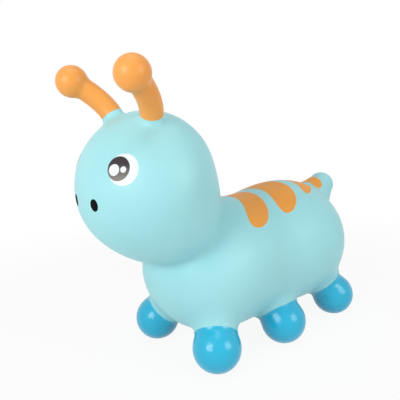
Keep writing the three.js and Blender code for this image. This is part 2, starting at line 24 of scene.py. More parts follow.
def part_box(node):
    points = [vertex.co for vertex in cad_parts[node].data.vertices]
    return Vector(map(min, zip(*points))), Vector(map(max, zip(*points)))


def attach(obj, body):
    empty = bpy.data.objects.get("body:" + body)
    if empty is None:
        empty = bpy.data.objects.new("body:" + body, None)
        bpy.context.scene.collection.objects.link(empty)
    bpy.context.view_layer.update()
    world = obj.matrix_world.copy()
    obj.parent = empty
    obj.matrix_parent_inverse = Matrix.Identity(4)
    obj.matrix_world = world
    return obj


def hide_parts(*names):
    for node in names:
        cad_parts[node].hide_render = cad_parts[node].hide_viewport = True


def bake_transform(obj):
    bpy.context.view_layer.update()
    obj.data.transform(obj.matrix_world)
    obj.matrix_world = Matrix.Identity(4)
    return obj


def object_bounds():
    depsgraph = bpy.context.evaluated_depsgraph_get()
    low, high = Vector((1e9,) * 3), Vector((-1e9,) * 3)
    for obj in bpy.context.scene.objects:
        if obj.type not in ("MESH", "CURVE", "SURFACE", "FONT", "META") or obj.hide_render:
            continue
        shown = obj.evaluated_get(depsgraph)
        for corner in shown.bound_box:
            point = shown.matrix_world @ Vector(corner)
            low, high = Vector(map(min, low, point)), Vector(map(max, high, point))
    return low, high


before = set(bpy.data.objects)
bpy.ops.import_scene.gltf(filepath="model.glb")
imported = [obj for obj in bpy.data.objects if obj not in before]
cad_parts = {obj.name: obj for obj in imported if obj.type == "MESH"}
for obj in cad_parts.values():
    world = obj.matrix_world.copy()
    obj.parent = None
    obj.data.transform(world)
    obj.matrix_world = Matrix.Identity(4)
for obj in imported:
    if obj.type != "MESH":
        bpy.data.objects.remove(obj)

Array = NDArray[np.float64]
Faces = list[tuple[int, ...]]
Colour = tuple[float, float, float]

LOG = logging.getLogger("inchworm_hopper")
CAD_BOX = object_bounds()

MM = 0.001
TINY = 1e-9
UP = np.array([0.0, 0.0, 1.0])
WHITE = (1.0, 1.0, 1.0, 1.0)

# Fineness of the skin and of the search for its surface
SKIN_CELL = 4.0
LIMB_CELL = 2.2
CELL_CORNERS = 8
BLOCK = 4
NEAR_BLOCKS = 2
EVENING_PASSES = 4
SETTLE_PASSES = 3
SLOPE_STEP = 0.02
LANDING_STEPS = 90

# Curve between display colours and linear light
FULL_LEVEL = 255
TOE_END = 0.04045
TOE_SLOPE = 12.92
CURVE_OFFSET = 0.055
CURVE_POWER = 2.4

# Places of a colour mix's sockets, which share their names with sockets of other kinds
MIX_SHARE = 0
MIX_ONE = 6
MIX_OTHER = 7
MIX_RESULT = 2

NOISE_MIDDLE = 0.5


class Side(Enum):
    """Side of the toy, by the sign of Y."""

    LEFT = 1
    RIGHT = -1

    @property
    def word(self) -> str:
        """The side's word in the names of pieces."""
        return self.name.lower()

    def handed(self, point: Array) -> Array:
        """A point of the left side, brought to this side."""
        return np.asarray(point, float) * (1.0, self.value, 1.0)


class Slot(Enum):
    """Material slots, whose words name the finishes' materials."""

    TURQUOISE_VINYL = "turquoise_vinyl"
    ORANGE_VINYL = "orange_vinyl"
    BLUE_VINYL = "blue_vinyl"
    WHITE_STOPPER = "white_stopper"
    ORANGE_PAINT = "orange_paint"
    WHITE_PRINT = "white_print"
    CHARCOAL_PRINT = "charcoal_print"
    BLACK_PRINT = "black_print"


def unit(vector: Array) -> Array:
    """The vector at a length of one."""
    return np.asarray(vector, float) / np.linalg.norm(vector)


def linear(colour: Colour) -> tuple[float, float, float, float]:
    """Turns a display colour into the shader's linear one.

    Args:
        colour: Red, green and blue, each from 0 to 255.

    Returns:
        Red, green, blue and a full alpha, each from 0 to 1.
    """
    lit = []
    for level in colour:
        share = level / FULL_LEVEL
        curve = ((share + CURVE_OFFSET) / (1 + CURVE_OFFSET)) ** CURVE_POWER
        lit.append(share / TOE_SLOPE if share <= TOE_END else curve)
    return (*lit, 1.0)


def soft_least(one: Array, other: Array, softness: float) -> Array:
    """Takes the lesser of two distances, with a fillet where they are close.

    Args:
        one: Distances from the first form.
        other: Distances from the second form.
        softness: How close they are where the fillet begins.

    Returns:
        The filleted distances.
    """
    nearness = np.maximum(softness - np.abs(one - other), 0) / softness
    return np.minimum(one, other) - nearness**2 * softness / 4


class Form(ABC):
    """A soft form, known by its distance from any point, which is negative inside."""

    @abstractmethod
    def distance(self, points: Array) -> Array:
        """Distance of each point, one to a row."""

    def slope(self, points: Array) -> Array:
        """Measures how the distance grows along X, Y and Z.

        Args:
            points: Places to measure at, one to a row.

        Returns:
            The slope at each point, one to a row.
        """
        corners = np.array([[1, 1, 1], [1, -1, -1], [-1, 1, -1], [-1, -1, 1]])
        rises = [self.distance(points + SLOPE_STEP * corner)[:, None] * corner for corner in corners]
        return sum(rises) / (len(corners) * SLOPE_STEP)

    def normal(self, points: Array) -> Array:
        """The way out of the form at each point."""
        slope = self.slope(points)
        return slope / np.linalg.norm(slope, axis=1, keepdims=True)

    def settle(self, points: Array, passes: int = SETTLE_PASSES) -> Array:
        """Moves points along the slope until they lie on the surface.

        Args:
            points: Places near the surface, one to a row.
            passes: How often they move.

        Returns:
            The places on the surface.
        """
        for _ in range(passes):
            slope = self.slope(points)
            steepness = (slope**2).sum(axis=1, keepdims=True)
            points = points - self.distance(points)[:, None] * slope / steepness
        return points

    def land(self, points: Array, heading: Array) -> Array:
        """Moves points straight ahead until they meet the surface.

        Args:
            points: Places outside the form, one to a row.
            heading: The way they move, one unit long.

        Returns:
            The places on the surface.
        """
        for _ in range(LANDING_STEPS):
            points = points + self.distance(points)[:, None] * heading
        return points

    def joined(self, other: "Form", softness: float) -> "Join":
        """This form and another, with a fillet between them."""
        return Join(self, other, softness)


@dataclass(frozen=True)
class Egg(Form):
    """A swelling with half-sizes along its own X, Y and Z, nodded about Y."""

    centre: tuple[float, float, float]
    half: tuple[float, float, float]
    nod_deg: float = 0.0

    def distance(self, points: Array) -> Array:
        """Measures the distance, which is true near the surface.

        Args:
            points: Places to measure at, one to a row.

        Returns:
            The distance of each.
        """
        off = points - np.array(self.centre)
        cos = math.cos(math.radians(self.nod_deg))
        sin = math.sin(math.radians(self.nod_deg))
        ahead = cos * off[:, 0] + sin * off[:, 2]
        above = cos * off[:, 2] - sin * off[:, 0]
        turned = np.stack([ahead, off[:, 1], above], axis=1)
        shares = turned / np.array(self.half)
        share = np.linalg.norm(shares, axis=1)
        steepness = np.linalg.norm(shares / np.array(self.half), axis=1)
        return share * (share - 1) / np.maximum(steepness, TINY)


@dataclass(frozen=True)
class Bar(Form):
    """A bar with round ends, whose radius changes evenly from one end to the other."""

    start: tuple[float, float, float]
    end: tuple[float, float, float]
    start_radius: float
    end_radius: float

    def distance(self, points: Array) -> Array:
        """Measures the distance from the bar's round side.

        Args:
            points: Places to measure at, one to a row.

        Returns:
            The distance of each.
        """
        run = np.subtract(self.end, self.start)
        off = points - np.array(self.start)
        share = np.clip(off @ run / max(run @ run, TINY), 0, 1)
        gap = np.linalg.norm(off - share[:, None] * run, axis=1)
        return gap - self.start_radius - share * (self.end_radius - self.start_radius)


@dataclass(frozen=True)
class Stalk(Form):
    """A round bar along an arch, given by its two ends and the point that bends it."""

    root: tuple[float, float, float]
    bend: tuple[float, float, float]
    tip: tuple[float, float, float]
    radius: float
    steps: int = 12

    def along(self, share: float) -> Array:
        """Follows the arch.

        Args:
            share: Share of its run, from 0 at the root to 1 at the tip.

        Returns:
            The arch's point there.
        """
        back = 1 - share
        root, bend, tip = (np.array(point) for point in (self.root, self.bend, self.tip))
        return back**2 * root + 2 * share * back * bend + share**2 * tip

    def distance(self, points: Array) -> Array:
        """Measures the distance from the nearest short stretch of the arch.

        Args:
            points: Places to measure at, one to a row.

        Returns:
            The distance of each.
        """
        knots = [tuple(self.along(n / self.steps)) for n in range(self.steps + 1)]
        stretches = [Bar(a, b, self.radius, self.radius) for a, b in zip(knots, knots[1:])]
        nearest = stretches[0].distance(points)
        for stretch in stretches[1:]:
            nearest = np.minimum(nearest, stretch.distance(points))
        return nearest


@dataclass(frozen=True)
class Join(Form):
    """Two forms with a fillet between them."""

    one: Form
    other: Form
    softness: float

    def distance(self, points: Array) -> Array:
        """Distance of each point from the joined skin."""
        return soft_least(self.one.distance(points), self.other.distance(points), self.softness)


@dataclass(frozen=True)
class Standing(Form):
    """A left half with its mirror image, pressed flat where it stands on the floor."""

    half: Form
    edge: float

    def distance(self, points: Array) -> Array:
        """Distance of each point from the pressed pair."""
        pair = self.half.distance(points * (1, 0, 1) + np.abs(points) * (0, 1, 0))
        return -soft_least(-pair, points[:, 2], self.edge)


@dataclass(frozen=True)
class PaintLine:
    """A plane across a limb, which is painted from there to its end."""

    centre: Array
    axis: Array
    offset: float
    reach: float

    @property
    def point(self) -> Array:
        """The middle of the line."""
        return self.centre + self.offset * self.axis

    def beyond(self, points: Array) -> Array:
        """How far each point lies on the painted side of the plane."""
        return (points - self.point) @ self.axis

    def aside(self, points: Array) -> Array:
        """How far each point lies from the limb's axis."""
        off = points - self.centre
        return np.linalg.norm(off - np.outer(off @ self.axis, self.axis), axis=1)

    def holds(self, points: Array) -> Array:
        """Which points the paint covers."""
        return (self.beyond(points) > 0) & (self.aside(points) < self.reach)


@dataclass(frozen=True)
class FootLine(PaintLine):
    """A paint line that leaves its plane under the belly, to follow the crease round the ball."""

    ball: Form
    trunk: Form
    crease: float
    softness: float = 8.0

    def beyond(self, points: Array) -> Array:
        """How far each point lies on the painted side of plane and crease."""
        crease = self.crease + self.trunk.distance(points) - self.ball.distance(points)
        return soft_least(super().beyond(points), crease, self.softness)


@dataclass(frozen=True)
class Trunk:
    """Chest, rump and the saddle between them, with a tail bud."""

    chest: Egg = Egg((95, 0, 140), (108, 113, 106))
    rump: Egg = Egg((-105, 0, 147.5), (107.5, 119, 113))
    saddle: Egg = Egg((-5, 0, 144), (94, 102, 97.5))
    tail: Bar = Bar((-203, 0, 221.5), (-224.5, 0, 237), 34, 25.5)
    trunk_softness: float = 35
    saddle_softness: float = 71
    tail_softness: float = 27

    def form(self) -> Form:
        """The trunk as one soft form."""
        barrel = self.chest.joined(self.rump, self.trunk_softness).joined(self.saddle, self.saddle_softness)
        return barrel.joined(self.tail, self.tail_softness)


@dataclass(frozen=True)
class Head:
    """A broad skull, nodded forward, on a nape."""

    skull: Egg = Egg((211, 0, 297.5), (97, 116.5, 109), 22)
    nape: Egg = Egg((180, 0, 249.5), (75, 98.5, 82))
    nape_softness: float = 35
    crease_softness: float = 10.7

    def form(self) -> Form:
        """The head as one soft form."""
        return self.skull.joined(self.nape, self.nape_softness)


@dataclass(frozen=True)
class Foot:
    """A ball foot on a splayed neck, by the place of the left one."""

    word: str
    x: float
    y: float
    bearing_deg: float
    paint_rise: float
    radius: float = 38.5
    flattening: float = 2.0
    neck_radius: float = 30.5
    neck_length: float = 75.0
    splay_deg: float = 32.0
    ankle_softness: float = 8.5
    leg_softness: float = 23.0
    paint_reach: float = 60.0
    paint_splay_deg: float = 32.0
    crease: float = 3.0

    @property
    def centre(self) -> Array:
        """The middle of the left ball."""
        return np.array([self.x, self.y, self.radius - self.flattening])

    def heading(self, splay_deg: float) -> Array:
        """Finds the way down and out of the left of the trunk.

        Args:
            splay_deg: Lean from straight down.

        Returns:
            The way, one unit long.
        """
        splay = math.radians(splay_deg)
        bearing = math.radians(self.bearing_deg)
        out = math.sin(splay)
        return np.array([out * math.cos(bearing), out * math.sin(bearing), -math.cos(splay)])

    def form(self) -> Form:
        """Joins the left foot and its neck.

        Returns:
            Both as one soft form.
        """
        hip = tuple(self.centre - self.neck_length * self.heading(self.splay_deg))
        middle = tuple(self.centre)
        neck = Bar(middle, hip, self.neck_radius, self.neck_radius)
        return neck.joined(Bar(middle, middle, self.radius, self.radius), self.ankle_softness)

    def paint_line(self, side: Side, trunk: Form) -> PaintLine:
        """Finds the line where a foot's blue begins.

        Args:
            side: The side of the toy.
            trunk: The trunk that the foot carries.

        Returns:
            The line.
        """
        centre = side.handed(self.centre)
        axis = side.handed(self.heading(self.paint_splay_deg))
        ball = Bar(tuple(centre), tuple(centre), self.radius, self.radius)
        return FootLine(centre, axis, -self.paint_rise, self.paint_reach, ball, trunk, self.crease)


@dataclass(frozen=True)
class Antenna:
    """A curved stalk with a ball tip, by the place of the left one."""

    stalk: Stalk = Stalk((226, 44.5, 383.5), (222, 60.5, 414.5), (273.5, 84, 450), 16.5)
    ball_radius: float = 24.0
    ball_softness: float = 4.5
    root_softness: float = 10.4
    line_share: float = 0.25
    line_step: float = 0.01
    bend_share: float = 0.72
    reach: float = 75.0

    def form(self) -> Form:
        """The left antenna as one soft form."""
        ball = Bar(self.stalk.tip, self.stalk.tip, self.ball_radius, self.ball_radius)
        return self.stalk.joined(ball, self.ball_softness)

    def paint_line(self, side: Side) -> PaintLine:
        """Finds the line where an antenna's orange begins.

        Args:
            side: The side of the toy.

        Returns:
            The line, square to the stalk.
        """
        place = self.stalk.along(self.line_share)
        ahead = self.stalk.along(self.line_share + self.line_step)
        return PaintLine(side.handed(place), side.handed(unit(ahead - place)), 0.0, self.reach)


@dataclass
class Shell:
    """Corners and faces of a mesh, in millimetres."""

    corners: Array
    faces: Faces

    def part(self, wanted: Array) -> "Shell":
        """Takes some faces out as a shell of their own.

        Args:
            wanted: Whether each face is taken.

        Returns:
            The shell of those faces and their corners.
        """
        kept = [face for face, take in zip(self.faces, wanted) if take]
        used = sorted({corner for face in kept for corner in face})
        place = {corner: n for n, corner in enumerate(used)}
        return Shell(self.corners[used], [tuple(place[c] for c in face) for face in kept])

    def rim(self) -> Array:
        """Follows the open rim.

        Returns:
            The corners round it, in order.
        """
        steps = {step for face in self.faces for step in zip(face, face[1:] + face[:1])}
        after = {a: b for a, b in steps if (b, a) not in steps}
        ring = [min(after)]
        while after[ring[-1]] != ring[0]:
            ring.append(after[ring[-1]])
        return self.corners[ring]

    def middles(self) -> Array:
        """Finds the middle of each face.

        Returns:
            The middles, one to a row.
        """
        sizes = np.array([len(face) for face in self.faces])
        flat = np.concatenate([np.asarray(face) for face in self.faces])
        starts = np.concatenate([[0], np.cumsum(sizes)[:-1]])
        return np.add.reduceat(self.corners[flat], starts) / sizes[:, None]


def sampled(form: Form, grid: Array, cell: float) -> Array:
    """Measures a form on a grid, in full only in the blocks that lie near its surface.

    Args:
        form: The form.
        grid: Points of the grid, by their places along X, Y and Z.
        cell: Width of a cell.

    Returns:
        The distance at each point, or that of the block's middle where the surface is far.
    """
    middle = grid[::BLOCK, ::BLOCK, ::BLOCK] + cell * (BLOCK - 1) / 2
    coarse = form.distance(middle.reshape(-1, 3)).reshape(middle.shape[:3])
    distance = np.kron(coarse, np.ones((BLOCK, BLOCK, BLOCK)))
    near = np.abs(distance) < NEAR_BLOCKS * BLOCK * cell
    distance[near] = form.distance(grid[near])
    return distance


def faceted(form: Form, low: Array, high: Array, cell: float) -> Shell:
    """Facets a form on a grid, with one corner in each cell that its surface crosses.

    Args:
        form: The form.
        low: Lowest corner of the grid.
        high: Highest corner of the grid.
        cell: Width of a cell.

    Returns:
        The form's skin in evened four-sided faces, which point out.
    """
    counts = BLOCK * np.ceil((high - low) / (BLOCK * cell)).astype(int)
    grid = low + cell * np.moveaxis(np.indices(counts), 0, -1)
    inside = sampled(form, grid, cell) < 0

    ends = [slice(None, -1), slice(1, None)]
    held = sum(inside[i, j, k].astype(int) for i in ends for j in ends for k in ends)
    crossed = (held > 0) & (held < CELL_CORNERS)
    number = np.full(crossed.shape, -1)
    number[crossed] = np.arange(crossed.sum())
    corners = form.settle(grid[:-1, :-1, :-1][crossed] + cell / 2, passes=1)

    quads = []
    for axis in range(3):
        lower = np.moveaxis(inside, axis, 0)[:-1]
        upper = np.moveaxis(inside, axis, 0)[1:]
        cells = np.moveaxis(number, axis, 0)
        along, u, v = np.nonzero(lower != upper)
        within = (u > 0) & (v > 0) & (u < cells.shape[1]) & (v < cells.shape[2])
        along, u, v = along[within], u[within], v[within]
        ring = np.stack([cells[along, u - 1, v - 1], cells[along, u, v - 1],
                         cells[along, u, v], cells[along, u - 1, v]], axis=1)
        outward = lower[along, u, v] ^ (axis == 1)
        quads.append(np.where(outward[:, None], ring, ring[:, ::-1]))
    quads = np.concatenate(quads)

    starts = quads.reshape(-1)
    stops = np.roll(quads, -1, axis=1).reshape(-1)
    for _ in range(EVENING_PASSES):
        total = np.zeros_like(corners)
        count = np.zeros(len(corners))
        np.add.at(total, starts, corners[stops])
        np.add.at(total, stops, corners[starts])
        np.add.at(count, starts, 1)
        np.add.at(count, stops, 1)
        corners = form.settle(total / count[:, None], passes=1)
    corners = form.settle(corners)
    return Shell(corners, [tuple(quad) for quad in quads.tolist()])


def cut_along(shell: Shell, lines: list[PaintLine]) -> Shell:
    """Splits the faces that paint lines cross, so that the lines run along edges.

    Args:
        shell: The whole skin.
        lines: The paint lines.

    Returns:
        The skin with its faces split.
    """
    mesh = bmesh.new()
    verts = [mesh.verts.new(corner) for corner in shell.corners]
    for face in shell.faces:
        mesh.faces.new([verts[n] for n in face])
    pairs = np.array([(edge.verts[0].index, edge.verts[1].index) for edge in indexed(mesh).edges])
    edges = list(mesh.edges)
    for line in lines:
        heights = line.beyond(shell.corners)
        near = line.aside(shell.corners) < line.reach
        ends = heights[pairs]
        crossed = ((ends[:, 0] > 0) != (ends[:, 1] > 0)) & near[pairs].any(axis=1)
        on_line = []
        for n in np.flatnonzero(crossed):
            share = ends[n, 0] / (ends[n, 0] - ends[n, 1])
            on_line.append(bmesh.utils.edge_split(edges[n], verts[pairs[n, 0]], share)[1])
        members = set(on_line)
        for face in dict.fromkeys(face for vert in on_line for face in vert.link_faces):
            met = [vert for vert in face.verts if vert in members]
            if len(met) == 2:
                bmesh.utils.face_split(face, *met)
    indexed(mesh)
    corners = np.array([vert.co for vert in mesh.verts])
    faces = [tuple(vert.index for vert in face.verts) for face in mesh.faces]
    mesh.free()
    return Shell(corners, faces)


def indexed(mesh: bmesh.types.BMesh) -> bmesh.types.BMesh:
    """The mesh, with its corners numbered afresh."""
    mesh.verts.index_update()
    return mesh


class Signal:
    """A shader value that takes part in arithmetic, where each step adds a Math node."""

    def __init__(self, shader: "Shader", socket: bpy.types.NodeSocket) -> None:
        """Keeps the socket and the shader that it belongs to."""
        self.shader = shader
        self.socket = socket

    def _math(self, operation: str, first: "Signal | float", second: "Signal | float") -> "Signal":
        """One Math node on two values."""
        return self.shader.node("ShaderNodeMath", {"operation": operation}, {0: first, 1: second})

    def __add__(self, other: "Signal | float") -> "Signal":
        """This value plus another."""
        return self._math("ADD", self, other)

    def __radd__(self, other: float) -> "Signal":
        """A number plus this value."""
        return self._math("ADD", other, self)

    def __sub__(self, other: "Signal | float") -> "Signal":
        """This value less another."""
        return self._math("SUBTRACT", self, other)

    def __rsub__(self, other: float) -> "Signal":
        """A number less this value."""
        return self._math("SUBTRACT", other, self)

    def __mul__(self, other: "Signal | float") -> "Signal":
        """This value times another."""
        return self._math("MULTIPLY", self, other)

    def __rmul__(self, other: float) -> "Signal":
        """A number times this value."""
        return self._math("MULTIPLY", other, self)


class Shader:
    """The node tree of one material or of the world."""

    def __init__(self, tree: bpy.types.NodeTree) -> None:
        """Clears the tree to start afresh."""
        self.tree = tree
        self.tree.nodes.clear()

    def node(
        self,
        kind: str,
        settings: dict[str, Any],
        sockets: dict[str | int, Any],
        output: str | int = 0,
    ) -> Signal:
        """Adds a node.

        Args:
            kind: Blender's name of the node's type.
            settings: Properties that are set first, by name.
            sockets: Values or signals for its inputs, by name or place.
            output: Which of its outputs is wanted, by name or place.

        Returns:
            The signal of that output.
        """
        made = self.tree.nodes.new(kind)
        for name, value in settings.items():
            setattr(made, name, value)
        for key, value in sockets.items():
            if isinstance(value, Signal):
                self.tree.links.new(value.socket, made.inputs[key])
            else:
                made.inputs[key].default_value = value
        return Signal(self, made.outputs[output] if len(made.outputs) else made.inputs[0])

    def place(self) -> Signal:
        """The point on the surface, in the toy's frame."""
        return self.node("ShaderNodeTexCoord", {}, {}, output="Object")

    def noise(self, size: float, detail: float = 2.0) -> Signal:
        """Even noise round a half, with lumps of a size in millimetres."""
        sockets = {"Vector": self.place(), "Scale": 1 / (size * MM), "Detail": detail}
        return self.node("ShaderNodeTexNoise", {}, sockets)

    def mixed(self, share: Signal, one: Any, other: Any) -> Signal:
        """A colour between two others."""
        sockets = {MIX_SHARE: share, MIX_ONE: one, MIX_OTHER: other}
        return self.node("ShaderNodeMix", {"data_type": "RGBA"}, sockets, output=MIX_RESULT)

    def ramp(self, value: Signal, low: float, high: float) -> Signal:
        """A smooth rise from 0 to 1 as a value goes from low to high."""
        sockets = {"Value": value, "From Min": low, "From Max": high, "To Min": 0.0, "To Max": 1.0}
        return self.node("ShaderNodeMapRange", {"interpolation_type": "SMOOTHSTEP"}, sockets)

    def bumped(self, height: Signal, depth: float, strength: float) -> Signal:
        """A normal that follows a height, with a depth in millimetres."""
        sockets = {"Height": height, "Distance": depth * MM, "Strength": strength}
        return self.node("ShaderNodeBump", {}, sockets)


@dataclass(frozen=True)
class Finish:
    """A skin or paint: its colours, its gloss and the fine marks of moulding and spraying."""

    slot: Slot
    colour: Colour
    clouded: Colour
    roughness: float
    specular: float = 0.3
    grain: float = 0.35
    cloud_size: float = 70.0
    cloud_start: float = 0.3
    cloud_end: float = 0.7
    cloud_gloss: float = 0.12
    fleck_size: float = 4.0
    fleck_share: float = 0.25
    grain_size: float = 1.1
    grain_detail: float = 3.0
    grain_gloss: float = 0.1
    grain_share: float = 0.25
    ripple_size: float = 16.0
    bump_depth: float = 0.25

    def material(self) -> bpy.types.Material:
        """The finish's material, made on first use.

        Returns:
            The material.
        """
        name = f"{self.slot.value}_finish"
        if name in bpy.data.materials:
            return bpy.data.materials[name]
        made = bpy.data.materials.new(name)
        made.use_nodes = True
        shader = Shader(made.node_tree)
        clouds = shader.noise(self.cloud_size)
        grain = shader.noise(self.grain_size, self.grain_detail)
        ripple = shader.noise(self.ripple_size)
        gloss = self.cloud_gloss * (clouds - NOISE_MIDDLE) + self.grain_gloss * (grain - NOISE_MIDDLE)
        height = self.grain_share * grain + (1 - self.grain_share) * ripple
        surface = shader.node("ShaderNodeBsdfPrincipled", {}, {
            "Base Color": self.coloured(shader, clouds),
            "Roughness": self.roughness + gloss,
            "Normal": shader.bumped(height, self.bump_depth, self.grain),
            "Specular IOR Level": self.specular,
        })
        shader.node("ShaderNodeOutputMaterial", {}, {"Surface": surface})
        return made

    def coloured(self, shader: Shader, clouds: Signal) -> Signal:
        """The colour over the surface, which clouds a little.

        Args:
            shader: The material's node tree.
            clouds: Broad even noise.

        Returns:
            The colour.
        """
        flecks = self.fleck_share * (shader.noise(self.fleck_size) - NOISE_MIDDLE)
        share = shader.ramp(clouds + flecks, self.cloud_start, self.cloud_end)
        return shader.mixed(share, linear(self.colour), linear(self.clouded))


@dataclass(frozen=True)
class PupilPrint(Finish):
    """A pupil's print, which pales towards its lower edge."""

    pale: Colour = (140, 136, 130)
    top: float = 341.0
    bottom: float = 315.0
    waver: float = 2.0

    def coloured(self, shader: Shader, clouds: Signal) -> Signal:
        """The colour over the pupil, from dark above to pale below.

        Args:
            shader: The material's node tree.
            clouds: Broad even noise.

        Returns:
            The colour.
        """
        height = shader.node("ShaderNodeSeparateXYZ", {}, {0: shader.place()}, output="Z")
        wavering = height + self.waver * MM * (clouds - NOISE_MIDDLE)
        share = shader.ramp(wavering, self.bottom * MM, self.top * MM)
        return shader.mixed(share, linear(self.pale), linear(self.colour))


@dataclass(frozen=True)
class Finishes:
    """Every finish on the toy."""

    skin: Finish = Finish(Slot.TURQUOISE_VINYL, (169, 230, 235), (164, 227, 233), 0.42)
    blue: Finish = Finish(Slot.BLUE_VINYL, (38, 190, 227), (32, 183, 221), 0.22, 0.5)
    orange: Finish = Finish(Slot.ORANGE_VINYL, (252, 170, 82), (248, 164, 77), 0.36, 0.4)
    stripe: Finish = Finish(Slot.ORANGE_PAINT, (248, 169, 75), (243, 163, 70), 0.5)
    white: Finish = Finish(Slot.WHITE_PRINT, (240, 249, 248), (234, 245, 245), 0.42)
    charcoal: Finish = PupilPrint(Slot.CHARCOAL_PRINT, (58, 53, 56), (58, 53, 56), 0.5, 0.15)
    black: Finish = Finish(Slot.BLACK_PRINT, (5, 6, 12), (9, 10, 16), 0.6, 0.05)
    stopper: Finish = Finish(Slot.WHITE_STOPPER, (236, 238, 236), (226, 229, 228), 0.4)


FINISHES = Finishes()


@dataclass
class Assembler:
    """Turns shells into pieces that stand in the frame."""

    shift: Array
    wall: float = 2.5
    turn_in: float = 0.88
    merge_gap: float = 0.002

    def piece(self, name: str, shell: Shell, finish: Finish, nodes: list[str]) -> bpy.types.Object:
        """Makes a piece of a closed or rimmed shell.

        Args:
            name: The piece's name.
            shell: Its shape, in the toy's own millimetres.
            finish: Its finish.
            nodes: The nodes of the frame that it stands for.

        Returns:
            The piece, not yet on a body.
        """
        mesh = bpy.data.meshes.new(name)
        mesh.from_pydata(((shell.corners + self.shift) * MM).tolist(), [], shell.faces)
        work = bmesh.new()
        work.from_mesh(mesh)
        bmesh.ops.remove_doubles(work, verts=work.verts, dist=self.merge_gap * MM)
        self.close_rims(work)
        bmesh.ops.recalc_face_normals(work, faces=work.faces)
        for face in work.faces:
            face.smooth = True
        work.to_mesh(mesh)
        work.free()
        made = bpy.data.objects.new(name, mesh)
        bpy.context.scene.collection.objects.link(made)
        mesh.materials.append(finish.material())
        if nodes:
            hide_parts(*nodes)
        LOG.info("%s: %d faces", name, len(mesh.polygons))
        return made

    def close_rims(self, work: bmesh.types.BMesh) -> None:
        """Turns each open rim in by the wall and closes it out of sight.

        Args:
            work: The mesh, in metres.
        """
        rims = [edge for edge in work.edges if edge.is_boundary]
        while rims:
            loop = [rims[0]]
            seen = {rims[0]}
            for edge in loop:
                joined = [e for v in edge.verts for e in v.link_edges if e.is_boundary and e not in seen]
                seen.update(joined)
                loop.extend(dict.fromkeys(joined))
            rims = [edge for edge in rims if edge not in seen]
            verts = list(dict.fromkeys(vert for edge in loop for vert in edge.verts))
            centre = sum((v.co for v in verts), Vector()) / len(verts)
            inner = [e.other_vert(v).co - v.co for v in verts for e in v.link_edges if e not in seen]
            depth = sum(inner, Vector()).normalized() * self.wall * MM
            twin = {v: work.verts.new(centre + (v.co - centre) * self.turn_in + depth) for v in verts}
            hub = work.verts.new(centre + depth)
            for edge in loop:
                a, b = edge.verts
                edge.smooth = False
                work.faces.new((a, b, twin[b], twin[a]))
                work.faces.new((twin[a], twin[b], hub))


